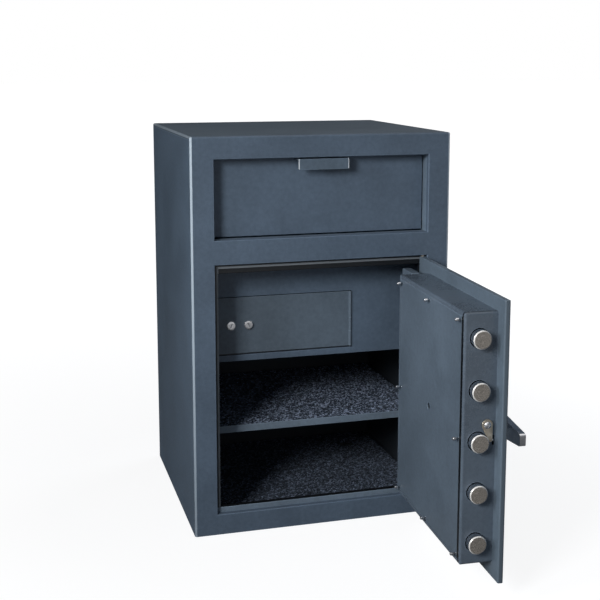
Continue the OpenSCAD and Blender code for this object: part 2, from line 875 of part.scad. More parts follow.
module door_pan() {
    w = pan_x1 - pan_x0;
    h = pan_z1 - pan_z0;
    color(steel_blue)
        on_door()
            difference() {
                intersection() {
                    translate([pan_x0, pan_y1, pan_z0])
                        mirror([0, 1, 0])
                            linear_extrude(height = h)
                                round_sided(w, pan_depth, pan_edge_r);
                    translate([0, pan_y1, pan_z0])
                        mirror([0, 1, 0])
                            sideways(pan_x0, pan_x1)
                                mirror([1, -1]) round_sided(h, pan_depth, pan_edge_r);
                    translate([pan_x0, 0, pan_z0]) upright(door_t, pan_y1) round_rect(w, h, pan_edge_r);
                }
                block([pan_x0 + pan_wall, door_t - 1, pan_z0 + pan_wall],
                      [pan_x1 - pan_wall, ledge_y0, pan_z1 - pan_wall]);
                block(cover_low - [cover_gap, 0, cover_gap],
                      [cover_high[0] + cover_gap, pan_y1 + 1, cover_high[2] + cover_gap]);
                block([cover_low[0] + ledge_w, ledge_y0 - 1, cover_low[2] + ledge_w],
                      [cover_high[0] - ledge_w, cover_y0 + 1, cover_high[2] - ledge_w]);
                for (p = screw_places) bar_y([p[0], ledge_y0 - 1, p[1]], ledge_t + 2, screw_r);
                for (i = [1:bolt_count])
                    bar_x([pan_x0 - 1, bolt_y, bolt_z(i)], pan_wall + 2, bolt_r + bolt_clear);
                bar_x([pan_x0 - 1, detent_y, detent_z], pan_wall + 2, detent_screw_r);
                sideways(pan_x0 - 1, pan_x0 + pan_wall + 1)
                    translate([door_t + 2, bolt_mid_z - 8]) round_rect(4.4, 18, 2);
            }
}

// height of locking bolt i, counted from the top
function bolt_z(i) = bolt_mid_z + ((bolt_count + 1) / 2 - i) * bolt_pitch;

module door_cover() {
    color(steel_light)
        on_door()
            difference() {
                block(cover_low, cover_high);
                for (p = screw_places) bar_y([p[0], cover_y0 - 1, p[1]], cover_t + 2, screw_r);
                bar_y([key_hole[0], cover_y0 - 1, key_hole[1]], cover_t + 2, key_hole_r);
            }
}

// a screw along Y with a domed head and a crossed recess, its head's underside at y = 0
module domed_screw(head_r, head_h, shank_r, shank_len) {
    dome_h = 0.45 * head_r;
    dome_r = (head_r * head_r + dome_h * dome_h) / (2 * dome_h);
    difference() {
        union() {
            intersection() {
                translate([0, head_h - dome_r, 0]) sphere(dome_r);
                bar_y([0, 0, 0], head_h, head_r);
            }
            bar_y([0, -shank_len, 0], shank_len, shank_r);
        }
        for (a = [0, 90])
            rotate([0, a, 0])
                translate([-0.6 * head_r, head_h - 0.55 * dome_h, -0.1 * head_r])
                    cube([1.2 * head_r, dome_h, 0.2 * head_r]);
    }
}

module cover_screws() {
    color(chrome)
        on_door()
            for (p = screw_places)
                translate([p[0], cover_y1, p[1]])
                    domed_screw(screw_head_r, screw_head_h, screw_r, screw_len);
}

module dead_bar() {
    color(steel_light)
        on_door()
            translate([pan_x1, 0, pan_z0 + 2])
                upright(dead_bar_y0, dead_bar_y0 + dead_bar_t)
                    round_rect(dead_bar_w, pan_z1 - pan_z0 - 1, 4);
}

module hard_plate() {
    color(raw_steel)
        on_door()
            difference() {
                block([lock_x0 - 8, door_t, lock_z0 - 8],
                      [lock_x0 + lock_w + 8, hard_y1, lock_z0 + lock_h + 8]);
                bar_y([dial_x, door_t - 1, dial_z], hard_t + 2, dial_spindle_r + 1);
            }
}

module lock_case() {
    color(raw_steel)
        on_door()
            difference() {
                block([lock_x0, hard_y1, lock_z0],
                      [lock_x0 + lock_w, lock_y1 - lock_cover_t, lock_z0 + lock_h]);
                block([lock_x0 + lock_wall, hard_y1 + lock_wall, lock_z0 + lock_wall],
                      [lock_x0 + lock_w - lock_wall, lock_y1, lock_z0 + lock_h - lock_wall]);
                bar_y([dial_x, hard_y1 - 1, dial_z], lock_wall + 2, dial_spindle_r + 1);
                block([lock_x0 - 1, lock_bolt_y0 - 0.3, lock_bolt_z0 - 0.3],
                      [lock_x0 + lock_wall + 1, lock_bolt_y1 + 0.3, lock_bolt_z0 + lock_bolt_h + 0.3]);
            }
}

module lock_cover() {
    color(bronze)
        on_door()
            difference() {
                block([lock_x0, lock_y1 - lock_cover_t, lock_z0],
                      [lock_x0 + lock_w, lock_y1, lock_z0 + lock_h]);
                bar_y([key_hole[0], lock_y1 - lock_cover_t - 1, key_hole[1]], lock_cover_t + 2, case_hole_r);
            }
}

module dial_ring() {
    color(chrome)
        on_door()
            translate([dial_x, 0, dial_z])
                rotate([90, 0, 0])
                    difference() {
                        rotate_extrude()
                            polygon([[dial_spindle_r + 3, 0], [dial_ring_r, 0], [dial_ring_r, ring_t - 6],
                                     [dial_ring_r - 3, ring_t], [dial_r + 1.5, ring_t],
                                     [dial_r + 1.5, dial_seat], [dial_spindle_r + 3, dial_seat]]);
                        translate([-0.6, dial_r, ring_t - 1]) cube([1.2, dial_ring_r, 3]);
                    }
}

module combination_dial() {
    color(black)
        on_door()
            translate([dial_x, -dial_seat - dial_gap, dial_z])
                rotate([90, 0, 0])
                    difference() {
                        union() {
                            cylinder(h = dial_t, r1 = dial_r, r2 = dial_r - dial_edge);
                            translate([0, 0, dial_t])
                                cylinder(h = knob_foot, r1 = knob_r + knob_flare, r2 = knob_r);
                            translate([0, 0, dial_t + knob_foot])
                                cylinder(h = knob_len - 2 * knob_foot, r = knob_r);
                            translate([0, 0, dial_t + knob_len - knob_foot])
                                cylinder(h = knob_edge, r1 = knob_r, r2 = knob_r - knob_edge);
                        }
                        for (i = [1:grip_count])
                            rotate([0, 0, i * 360 / grip_count])
                                translate([knob_r + 0.4, 0, dial_t + knob_foot])
                                    cylinder(h = knob_len, r = grip_r);
                        translate([0, 0, -1]) cylinder(h = dial_t, r = dial_spindle_r);
                    }
}

module dial_spindle() {
    color(raw_steel)
        on_door()
            bar_y([dial_x, -dial_gap - 2 * dial_seat, dial_z],
                  lock_y1 + dial_gap + dial_seat, dial_spindle_r);
}

module lock_wheels() {
    color(bronze)
        on_door()
            for (i = [0:3]) {
                y = wheel_y0 + wheel_step * i;
                r = i == 3 ? cam_r : wheel_r;
                difference() {
                    bar_y([dial_x, y, dial_z], i == 3 ? cam_t : wheel_t, r);
                    bar_y([dial_x, y - 1, dial_z], cam_t + 2, dial_spindle_r);
                    translate([dial_x - 2.5, y - 1, dial_z + r - 4]) cube([5, cam_t + 2, 6]);
                }
            }
}

module lock_bolt() {
    color(bronze)
        on_door()
            block([lock_x0 - lock_bolt_rest, lock_bolt_y0, lock_bolt_z0],
                  [lock_x0 + lock_bolt_in, lock_bolt_y1, lock_bolt_z0 + lock_bolt_h]);
}

module handle_rose() {
    color(chrome)
        on_door()
            difference() {
                translate([handle_x, 0, handle_z])
                    rotate([90, 0, 0]) cylinder(h = rose_t, r1 = rose_r, r2 = rose_r - 3);
                bar_y([handle_x, -rose_t - 1, handle_z], rose_t + 2, spindle_r + run_clear + 0.2);
            }
}

module lever_handle() {
    taper = asin((lever_hub_r - lever_tip_half) / lever_len);
    hub = [-lever_hub_r * sin(taper), lever_hub_r * cos(taper)];
    tip_r = 4;
    color(chrome)
        on_door()
            translate([handle_x, 0, handle_z]) {
                upright(-lever_standoff - lever_t, -lever_standoff) {
                    circle(lever_hub_r);
                    polygon([hub, [-lever_len + tip_r, lever_tip_half],
                             [-lever_len + tip_r, -lever_tip_half], [hub[0], -hub[1]],
                             [0, -lever_hub_r / 2], [0, lever_hub_r / 2]]);
                    translate([-lever_len, -lever_tip_half])
                        round_rect(3 * tip_r, 2 * lever_tip_half, tip_r);
                }
                translate([0, -rose_t - 1, 0])
                    rotate([90, 0, 0]) cylinder(h = lever_standoff - rose_t - 1, r1 = 15, r2 = 13);
            }
}

module handle_spindle() {
    color(raw_steel)
        on_door() {
            bar_y([handle_x, -rose_t - 1, handle_z], crank_y1 + rose_t + 2, spindle_r);
            translate([handle_x, 0, handle_z])
                upright(crank_y0, crank_y1)
                    rotate(crank_lean) {
                        circle(crank_hub_r);
                        translate([-crank_pin_r - 2, -crank_r]) square([2 * crank_pin_r + 4, crank_r]);
                        translate([0, -crank_r]) circle(crank_pin_r + 3);
                    }
            bar_y([crank_pin_x, crank_y0 - 1, crank_pin_high_z],
                  carriage_y1 + 3 - crank_y0, crank_pin_r);
        }
}

module guide_studs() {
    color(raw_steel)
        on_door()
            for (s = [-1, 1])
                translate([stud_x, 0, bolt_mid_z + s * arm_z]) {
                    bar_y([0, door_t, 0], carriage_y0 - 0.3 - door_t, stud_r + 3);
                    bar_y([0, door_t, 0], carriage_y1 + 4 - door_t, stud_r);
                    bar_y([0, carriage_y1 + 0.3, 0], 4, stud_head_r);
                }
}

module bolt_carriage() {
    half = slot_clear + stud_r;
    color(raw_steel)
        on_door()
            difference() {
                upright(carriage_y0, carriage_y1) {
                    translate([bolt_root_x, bolt_mid_z - carriage_half])
                        square([carriage_w, 2 * carriage_half]);
                    for (s = [-1, 1])
                        translate([carriage_x1 - 1, bolt_mid_z + s * arm_z - arm_h / 2])
                            square([arm_reach + 1, arm_h]);
                    translate([carriage_x1 - 1, drive_arm_z0])
                        square([blocker_x1 - carriage_x1 + 1, drive_arm_z1 - drive_arm_z0]);
                    translate([blocker_x1 - blocker_w, drive_arm_z1 - 1])
                        square([blocker_w, lock_bolt_z0 + lock_bolt_h - drive_arm_z1 + 1]);
                }
                for (s = [-1, 1])
                    translate([0, 0, bolt_mid_z + s * arm_z])
                        block([stud_x - half - 1, carriage_y0 - 1, -half],
                              [stud_x + bolt_travel + half + 1, carriage_y1 + 1, half]);
                block([crank_pin_x - crank_pin_r - slot_clear, carriage_y0 - 1,
                       crank_pin_low_z - crank_pin_r - slot_clear - 1],
                      [crank_pin_x + crank_pin_r + slot_clear, carriage_y1 + 1,
                       crank_pin_high_z + crank_pin_r + slot_clear + 1]);
            }
}

module locking_bolt(i) {
    if (i <= bolt_count)
        color(chrome)
            on_door()
                translate([bolt_tip_x, bolt_y, bolt_z(i)])
                    rotate([0, 90, 0]) {
                        cylinder(h = bolt_tip_chamfer, r1 = bolt_r - bolt_tip_chamfer, r2 = bolt_r);
                        translate([0, 0, bolt_tip_chamfer])
                            cylinder(h = bolt_len - bolt_tip_chamfer, r = bolt_r);
                    }
}

module detent_lever() {
    taper = asin((detent_eye_r - detent_tail_r) / detent_tail);
    // the flanks end just inside the two rounds
    right = 0.97 * [cos(taper), -sin(taper)];
    left = [-right[0], right[1]];
    tail = [0, -detent_tail];
    color(bronze)
        on_door()
            translate([pan_x0 - detent_t - 0.3, detent_y, detent_z])
                difference() {
                    union() {
                        bar_x([0, 0, 0], detent_t, detent_eye_r);
                        sideways(0, detent_t) rotate(-detent_lean) translate(tail) circle(detent_tail_r);
                        sideways(0, detent_t)
                            rotate(-detent_lean)
                                polygon([detent_eye_r * right, tail + detent_tail_r * right,
                                         tail + detent_tail_r * left, detent_eye_r * left]);
                    }
                    bar_x([-1, 0, 0], detent_t + 2, detent_screw_r + run_clear);
                }
}

module detent_screw() {
    color(chrome)
        on_door()
            translate([pan_x0 - detent_t - 0.6, detent_y, detent_z])
                rotate([0, 0, 90]) domed_screw(6, 3.4, detent_screw_r, detent_t + 8);
}

module locker_door() {
    color(steel_light)
        in_cabinet()
            difference() {
                union() {
                    difference() {
                        block([locker_door_x0, locker_y, locker_door_z0],
                              [locker_hinge_x, locker_y + locker_t, locker_door_z1]);
                        bar_z([barrel_x, barrel_y, knuckle_z0 + knuckle_gap / 3],
                              knuckle_z1 - knuckle_z0 - 2 * knuckle_gap / 3, barrel_r + knuckle_gap);
                    }
                    for (z = [[locker_door_z0, knuckle_z0], [knuckle_z1, locker_door_z1]]) {
                        knuckle(z[0], z[1], barrel_pin_r + run_clear);
                        block([locker_hinge_x - 1, locker_y + barrel_r - 1, z[0]],
                              [barrel_x, locker_y + barrel_r - 0.2, z[1]]);
                    }
                }
                for (x = nose_x) bar_y([x, locker_y - 1, nose_z], locker_t + 2, nose_r + nose_clear);
            }
}

module locker_lock_case() {
    color(raw_steel)
        in_cabinet()
            difference() {
                block([case_x0, case_y0, nose_z - case_half_h], [case_x1, case_y1, nose_z + case_half_h]);
                block([case_x0 + case_wall, case_y0 - 1, nose_z - case_half_h + case_wall],
                      [case_x1 - case_wall, case_y1 - case_wall, nose_z + case_half_h - case_wall]);
                block([case_x0 - 1, locker_bolt_y0 - 0.3, nose_z - locker_bolt_half_h - 0.3],
                      [case_x0 + case_wall + 1, locker_bolt_y0 + locker_bolt_t + 0.3,
                       nose_z + locker_bolt_half_h + 0.3]);
            }
}

// a key nose with a keyway cut across its face at an angle
module key_nose(x, keyway_angle) {
    color(chrome)
        in_cabinet()
            translate([x, locker_y - nose_proud, nose_z])
                difference() {
                    union() {
                        bar_y([0, 0, 0], 1, nose_r - 1);
                        bar_y([0, 1, 0], nose_proud + locker_t + nose_len_in - 1, nose_r);
                    }
                    rotate([0, keyway_angle, 0])
                        translate([-0.9, -1, -4.5]) cube([1.8, 6, 9]);
                }
}

module locker_bolt() {
    color(bronze)
        in_cabinet()
            block([locker_bolt_x0, locker_bolt_y0, nose_z - locker_bolt_half_h],
                  [locker_bolt_x1, locker_bolt_y0 + locker_bolt_t, nose_z + locker_bolt_half_h]);
}

front_frame();
side_panel(-1);  // side_panel_left
side_panel(1);  // side_panel_right
top_panel();
floor_panel();
back_panel();
hopper_surround();
door_jamb();
divider_plate();
fishing_baffle();
locker_front();
locker_floor();
locker_back();
locker_roof();
locker_hinge_knuckle();
locker_hinge_pin();
shelf();
shelf_brackets();
shelf_carpet();
floor_carpet();
hinge_pins();
hinge_washer();
hopper_brackets();
hopper_bushes();
hopper_door();
hopper_pull();
hopper_tray();
hopper_side(-1);  // hopper_side_left
hopper_side(1);  // hopper_side_right
hopper_shaft();
door_plate();
door_pan();
door_cover();
cover_screws();
dead_bar();
hard_plate();
lock_case();
lock_cover();
dial_ring();
handle_rose();
guide_studs();
detent_screw();
bolt_carriage();
locking_bolt(1);  // locking_bolt_1
locking_bolt(2);  // locking_bolt_2
locking_bolt(3);  // locking_bolt_3
locking_bolt(4);  // locking_bolt_4
locking_bolt(5);  // locking_bolt_5
lever_handle();
handle_spindle();
combination_dial();
dial_spindle();
lock_wheels();
lock_bolt();
detent_lever();
locker_door();
locker_lock_case();
locker_bolt();
key_nose(nose_x[0], 20);  // guard_nose
key_nose(nose_x[1], -25);  // renter_nose
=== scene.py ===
import json
import math
import random

import bmesh
import bpy
from mathutils import Matrix, Vector, noise


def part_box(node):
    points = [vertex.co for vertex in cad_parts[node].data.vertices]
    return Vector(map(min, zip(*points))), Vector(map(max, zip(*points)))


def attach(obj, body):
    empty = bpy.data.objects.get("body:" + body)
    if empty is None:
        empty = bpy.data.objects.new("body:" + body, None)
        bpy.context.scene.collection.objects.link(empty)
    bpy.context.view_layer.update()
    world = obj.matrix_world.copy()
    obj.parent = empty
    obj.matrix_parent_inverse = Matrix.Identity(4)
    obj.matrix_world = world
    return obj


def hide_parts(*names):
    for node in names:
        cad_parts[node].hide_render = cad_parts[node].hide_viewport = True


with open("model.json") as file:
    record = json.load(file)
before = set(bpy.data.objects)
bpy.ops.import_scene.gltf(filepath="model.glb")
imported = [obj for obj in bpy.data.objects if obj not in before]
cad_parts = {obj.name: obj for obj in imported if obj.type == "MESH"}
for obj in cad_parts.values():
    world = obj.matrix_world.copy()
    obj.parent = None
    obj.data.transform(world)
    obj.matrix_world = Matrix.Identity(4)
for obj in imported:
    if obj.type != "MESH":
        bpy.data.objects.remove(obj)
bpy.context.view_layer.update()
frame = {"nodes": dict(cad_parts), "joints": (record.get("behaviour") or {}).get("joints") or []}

scene = bpy.context.scene
cadNodes = frame["nodes"]
joints = {joint["name"]: joint for joint in frame["joints"]}

# the door's own directions at rest, taken from its joints
towardsTips = Vector(joints["bolt_slide"]["axis"]).normalized()   # out of the door's free edge
outOfFace = -Vector(joints["dial_turn"]["axis"]).normalized()      # out of the door's outer face
up = Vector((0, 0, 1))


# small helpers for colours, nodes and meshes

def tone(red, green, blue, scale=1.0):    # a colour as a picture shows it, 0 to 255, made linear
    def linear(value):
        value = value / 255
        return value / 12.92 if value <= 0.04045 else ((value + 0.055) / 1.055) ** 2.4
    return tuple(linear(value) * scale for value in (red, green, blue)) + (1.0,)


def addNode(tree, kind, settings=None, **sockets):    # sockets are values, or outputs to join
    made = tree.nodes.new("ShaderNode" + kind)
    for key, value in (settings or {}).items():
        setattr(made, key, value)
    for key, value in sockets.items():
        socket = made.inputs[int(key[2:])] if key.startswith("in") else made.inputs[key]
        if isinstance(value, bpy.types.NodeSocket):
            tree.links.new(value, socket)
        else:
            socket.default_value = value
    return made


def blankMaterial(name, **plain):    # a Principled material with its plain values set on the shader
    material = bpy.data.materials.new(name)
    material.use_nodes = True
    tree = material.node_tree
    shader = tree.nodes["Principled BSDF"]
    for key, value in plain.items():
        shader.inputs[key.replace("_", " ")].default_value = value
    place = addNode(tree, "TexCoord").outputs["Object"]
    return material, tree, shader, place


def noiseField(tree, place, scale, detail=2.0, roughness=0.5):
    made = addNode(tree, "TexNoise", Vector=place, Scale=scale, Detail=detail, Roughness=roughness)
    return made.outputs["Fac"]


def mathNode(tree, operation, first, second=0.0, third=0.0):
    made = addNode(tree, "Math", {"operation": operation}, in0=first, in1=second, in2=third)
    return made.outputs[0]


def multiply(tree, first, *others):
    for other in others:
        first = mathNode(tree, "MULTIPLY", first, other)
    return first


def dotNode(tree, first, second):
    made = addNode(tree, "VectorMath", {"operation": "DOT_PRODUCT"}, in0=first, in1=second)
    return made.outputs["Value"]


def spread(tree, value, low, high, fromLow=0.3, fromHigh=0.7):    # maps a noise onto a range
    made = addNode(tree, "MapRange", Value=value)
    for key, number in (("From Min", fromLow), ("From Max", fromHigh), ("To Min", low), ("To Max", high)):
        made.inputs[key].default_value = number
    return made.outputs[0]


def splitPlace(tree, place):    # across, back and up
    return addNode(tree, "SeparateXYZ", Vector=place).outputs


def blendColours(tree, share, first, second):
    made = addNode(tree, "Mix", {"data_type": "RGBA"})
    for socket, value in ((made.inputs[0], share), (made.inputs[6], first), (made.inputs[7], second)):
        if isinstance(value, bpy.types.NodeSocket):
            tree.links.new(value, socket)
        else:
            socket.default_value = value
    return made.outputs[2]


def rampBetween(tree, value, stops):    # a stop is its position, its tone and, where wanted, a share of it
    made = addNode(tree, "ValToRGB", Fac=value)
    elements = made.color_ramp.elements
    while len(elements) < len(stops):
        elements.new(0.5)
    for element, (position, colour, *share) in zip(elements, stops):
        element.position = position
        element.color = tone(*colour, *share)
    return made.outputs["Color"]


def relief(tree, shader, height, strength, distance):
    made = addNode(tree, "Bump", Height=height, Strength=strength, Distance=distance)
    tree.links.new(made.outputs["Normal"], shader.inputs["Normal"])


def farthest(name, axis):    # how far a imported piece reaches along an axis
    return max(vertex.co.dot(axis) for vertex in cadNodes[name].data.vertices)


def plainMesh(name, corners, faces):
    mesh = bpy.data.meshes.new(name)
    mesh.from_pydata(corners, [], faces)
    return mesh


def meshFrom(name, work):    # the finished mesh of a bmesh, which is then let go
    mesh = bpy.data.meshes.new(name)
    work.to_mesh(mesh)
    work.free()
    return mesh


def meshPiece(name, mesh, material, body):    # a finished mesh that rides on a body
    piece = bpy.data.objects.new(name, mesh)
    scene.collection.objects.link(piece)
    piece.data.materials.append(material)
    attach(piece, body)
    return piece


# camera and stage

camera = {
    "place": (-0.5984, -2.1978, 0.8998), "tilt": 81.32, "turn": -15.65,
    "lens": 66.16, "sensor": 36.0, "riseShift": -0.12,
}
stage = {
    "floorHalf": 40.0, "floorDrop": 0.0004, "floorTone": (126, 128, 131), "floorRough": 0.9,
    "floorSpecular": 0.1, "nearLift": 0.86, "farLift": 1.0, "near": 0.5, "far": 2.2, "glossNear": 1.3,
    "glossFar": 3.6, "worldFill": 0.075, "worldTone": (226, 234, 244),
}
lamps = {
    "keySoftbox": {"place": (-1.84, -2.14, 1.56), "aim": (0.0, -0.25, 0.45), "size": (0.72, 0.85),
                   "power": 62.0, "tone": (253, 252, 250), "beam": 180, "shine": 7.0},
    "doorGrid": {"place": (-1.50, -0.90, 1.05), "aim": (0.19, -0.43, 0.36), "size": (0.30, 0.50),
                 "power": 0.85, "tone": (245, 249, 255), "beam": 36},
    "frontFill": {"place": (-0.2, -3.4, 0.75), "aim": (0.0, -0.20, 0.40), "size": (1.6, 1.6),
                  "power": 4.2, "tone": (236, 244, 255), "beam": 180},
    "rightFill": {"place": (2.3, 1.5, 1.0), "aim": (0.1, 0.0, 0.38), "size": (1.6, 1.6),
                  "power": 38.0, "tone": (246, 249, 255), "beam": 180},
}
cards = {    # dark cards that only gloss shows, paler towards their tops
    "cardBehind": {"place": (-0.5, 1.5, 1.25), "half": (3.2, 1.3), "turn": 0},
    "cardLeft": {"place": (-2.9, 0.75, 1.25), "half": (0.9, 1.3), "turn": 90},
    "cardRight": {"place": (2.7, 0.75, 1.25), "half": (0.9, 1.3), "turn": 90},
    "cardFront": {"place": (0.9, -4.2, 1.3), "half": (2.0, 1.5), "turn": 0},
}
cardLook = {"low": (12, 13, 15), "high": (70, 80, 92), "from": -0.9, "to": 0.2}


def makeCamera():
    data = bpy.data.cameras.new("camera")
    data.lens = camera["lens"]
    data.sensor_width = camera["sensor"]
    data.shift_y = camera["riseShift"]
    data.dof.use_dof = False
    made = bpy.data.objects.new("camera", data)
    made.location = camera["place"]
    made.rotation_euler = (math.radians(camera["tilt"]), 0, math.radians(camera["turn"]))
    scene.collection.objects.link(made)
    scene.camera = made


def lookPaths(tree):    # 1 where the camera or glass looks, and 1 where gloss looks
    path = addNode(tree, "LightPath")
    looks = mathNode(tree, "MAXIMUM", path.outputs["Is Camera Ray"], path.outputs["Is Transmission Ray"])
    return looks, path.outputs["Is Glossy Ray"]


def makeWorld():
    world = bpy.data.worlds.new("whiteStudio")
    world.use_nodes = True
    tree = world.node_tree
    tree.nodes.clear()
    fill = addNode(tree, "Background", Color=tone(*stage["worldTone"]), Strength=stage["worldFill"])
    white = addNode(tree, "Background", Color=(1, 1, 1, 1), Strength=1.0)
    both = addNode(tree, "MixShader", in0=mathNode(tree, "MAXIMUM", *lookPaths(tree)))
    tree.links.new(fill.outputs[0], both.inputs[1])
    tree.links.new(white.outputs[0], both.inputs[2])
    out = addNode(tree, "OutputWorld")
    tree.links.new(both.outputs[0], out.inputs["Surface"])
    scene.world = world


def makeFloor():
    half = stage["floorHalf"]
    corners = [(-half, -half, 0), (half, -half, 0), (half, half, 0), (-half, half, 0)]
    mesh = plainMesh("floor", corners, [(0, 1, 2, 3)])
    floor = bpy.data.objects.new("floor", mesh)
    floor.location = (0, 0, -stage["floorDrop"])
    scene.collection.objects.link(floor)
    material, tree, shader, place = blankMaterial(
        "paleFloor", Base_Color=tone(*stage["floorTone"]), Roughness=stage["floorRough"],
        Specular_IOR_Level=stage["floorSpecular"], Emission_Color=(1, 1, 1, 1))
    away = addNode(tree, "VectorMath", {"operation": "LENGTH"}, in0=place).outputs["Value"]
    looks, gloss = lookPaths(tree)
    seen = spread(tree, away, stage["nearLift"], stage["farLift"], stage["near"], stage["far"])
    mirrored = spread(tree, away, 0.0, 1.0, stage["glossNear"], stage["glossFar"])
    lift = mathNode(tree, "MAXIMUM", multiply(tree, looks, seen), multiply(tree, gloss, mirrored))
    tree.links.new(lift, shader.inputs["Emission Strength"])
    mesh.materials.append(material)


def makeLamps():
    for name, lamp in lamps.items():
        data = bpy.data.lights.new(name, "AREA")
        data.shape = "RECTANGLE"
        data.size, data.size_y = lamp["size"]
        data.energy = lamp["power"]
        data.color = tone(*lamp["tone"])[:3]
        data.spread = math.radians(lamp["beam"])
        made = bpy.data.objects.new(name, data)
        made.location = lamp["place"]
        aim = Vector(lamp["aim"]) - Vector(lamp["place"])
        made.rotation_euler = aim.to_track_quat("-Z", "Y").to_euler()
        made.visible_camera = False
        made.visible_glossy = "shine" not in lamp
        scene.collection.objects.link(made)
        if "shine" in lamp:
            makeShine(name + "Shine", lamp, made.rotation_euler)


def onlyForGloss(made):
    for way in ("camera", "diffuse", "transmission", "volume_scatter", "shadow"):
        setattr(made, "visible_" + way, False)
    scene.collection.objects.link(made)


# gloss sees this plain card in the lamp's place, so that the lamp doesn't glare
def makeShine(name, lamp, turn):
    wide, high = lamp["size"][0] / 2, lamp["size"][1] / 2
    corners = [(-wide, -high, 0), (wide, -high, 0), (wide, high, 0), (-wide, high, 0)]
    mesh = plainMesh(name, corners, [(0, 1, 2, 3)])
    material, tree, shader, place = blankMaterial(name, Base_Color=(0, 0, 0, 1),
                                                  Emission_Color=tone(*lamp["tone"]),
                                                  Emission_Strength=lamp["shine"])
    mesh.materials.append(material)
    made = bpy.data.objects.new(name, mesh)
    made.location = lamp["place"]
    made.rotation_euler = turn
    onlyForGloss(made)


def makeCards():
    material, tree, shader, place = blankMaterial("cardCloth", Roughness=1.0, Specular_IOR_Level=0.0,
                                                  Base_Color=(0, 0, 0, 1), Emission_Strength=1.0)
    rise = spread(tree, splitPlace(tree, place)[2], 0.0, 1.0, cardLook["from"], cardLook["to"])
    glow = rampBetween(tree, rise, [(0.0, cardLook["low"]), (1.0, cardLook["high"])])
    tree.links.new(glow, shader.inputs["Emission Color"])
    for name, card in cards.items():
        wide, high = card["half"]
        corners = [(-wide, 0, -high), (wide, 0, -high), (wide, 0, high), (-wide, 0, high)]
        mesh = plainMesh(name, corners, [(0, 1, 2, 3)])
        mesh.materials.append(material)
        made = bpy.data.objects.new(name, mesh)
        made.location = card["place"]
        made.rotation_euler.z = math.radians(card["turn"])
        onlyForGloss(made)


scene.view_settings.view_transform = "Standard"
makeCamera()
makeWorld()
makeFloor()
makeLamps()
makeCards()
print("camera, floor and lamps")


# finishes

# shared by every paint: a noise is its scale, detail and roughness, a shade is its place and its share
coat = {
    "clouds": (9.0, 4.0, 0.6), "mottle": (130.0, 3.0, 0.7), "grain": 420.0, "peel": (3.0, 0.6),
    "pits": (2.3, 1.0), "mottleShare": 0.9,
    "shades": ((0.28, 0.86), (0.72, 1.14)), "insideShades": ((0.3, 0.8), (0.7, 1.2)),
    "pitShare": 0.55, "pitFrom": 0.42, "pitTo": 0.20, "pitShade": 0.45,
    "specular": 0.40, "peelGloss": 0.5, "glossRange": (0.5, 1.0), "relief": 0.5,
}
paints = {
    "bodyPaint": {"tone": (79, 93, 109), "grainDepth": 0.00020, "rough": (0.38, 0.52), "outside": True},
    "doorPaint": {"tone": (83, 95, 107), "grainDepth": 0.00018, "rough": (0.36, 0.48)},
    # the locker door's foot is a painted shadow
    "lockerPaint": {"tone": (83, 95, 107), "grainDepth": 0.00018, "rough": (0.36, 0.48),
                    "foot": {"z": 0.3322, "tone": (20, 24, 29)}},
    "panPaint": {"tone": (82, 93, 105), "grainDepth": 0.00014, "rough": (0.24, 0.34)},
    # the door plate is painted lighter than the door, a painted highlight
    "litPlatePaint": {"tone": (89, 102, 114), "grainDepth": 0.00018, "rough": (0.36, 0.48)},
    # the hopper surround and shelf are painted lighter than the body, a painted highlight
    "litLiningPaint": {"tone": (100, 114, 128), "grainDepth": 0.00018, "rough": (0.34, 0.46)},
    # the jamb is painted lighter than the body, a painted highlight; its rim carries painted shadows and a
    # highlight line
    "litJambPaint": {"tone": (100, 114, 128), "grainDepth": 0.00018, "rough": (0.34, 0.46),
                  "bands": {"x": 0.210, "z": 0.524, "sill": 0.050, "wide": 0.012,
                            "stops": [(0.34, (7, 9, 11)), (0.40, (112, 118, 124)),
                                      (0.66, (112, 118, 124)), (0.74, (17, 19, 22))]}},
    # the pull's ends carry a painted highlight
    "pullPaint": {"tone": (82, 96, 110), "grainDepth": 0.00018, "rough": (0.30, 0.42),
                  "endHighlight": {"x": 0.0474, "y": -0.2265, "tone": (196, 204, 211)}},
    # the top is a darker copy of the shell's paint, painted shade
    "shadedTopPaint": {"tone": (70, 81, 91), "grainDepth": 0.00024, "rough": (0.50, 0.62),
                 "inside": (42, 47, 54), "outside": True},
    "shellPaint": {"tone": (80, 95, 111), "grainDepth": 0.00024, "rough": (0.50, 0.62),
                   "inside": (42, 47, 54), "outside": True},
}
shellInside = {"x": 0.251, "y": 0.227, "z": 0.759}    # within these the shell's plates are dark
# sharp edges: the paler colour is a painted highlight, the lower roughness is wear
edgeWearAndHighlight = {"radius": 0.0018, "samples": 4, "low": 0.015, "high": 0.11, "paler": 2.0, "share": 0.85,
            "smoother": 0.16}
# a painted highlight on the body's rounded corners, paler towards the top
cornerHighlight = {"x": 0.2502, "y": 0.2262, "z": 0.7582, "tone": (176, 190, 202), "foot": 0.40, "along": 0.40}


def insideShell(tree, place):    # 1 on the inner faces of the shell's plates
    across, back, rise = splitPlace(tree, place)
    within = [mathNode(tree, "LESS_THAN", way, shellInside[axis])
              for axis, way in (("x", mathNode(tree, "ABSOLUTE", across)), ("y", back), ("z", rise))]
    return multiply(tree, *within)


def wornEdges(tree):    # 1 on sharp edges, which get a painted highlight and the smoother gloss of wear
    soft = addNode(tree, "Bevel", {"samples": edgeWearAndHighlight["samples"]}, Radius=edgeWearAndHighlight["radius"])
    flat = addNode(tree, "NewGeometry")
    same = dotNode(tree, soft.outputs["Normal"], flat.outputs["Normal"])
    apart = mathNode(tree, "SUBTRACT", 1.0, same)
    return spread(tree, apart, 0.0, 1.0, edgeWearAndHighlight["low"], edgeWearAndHighlight["high"])


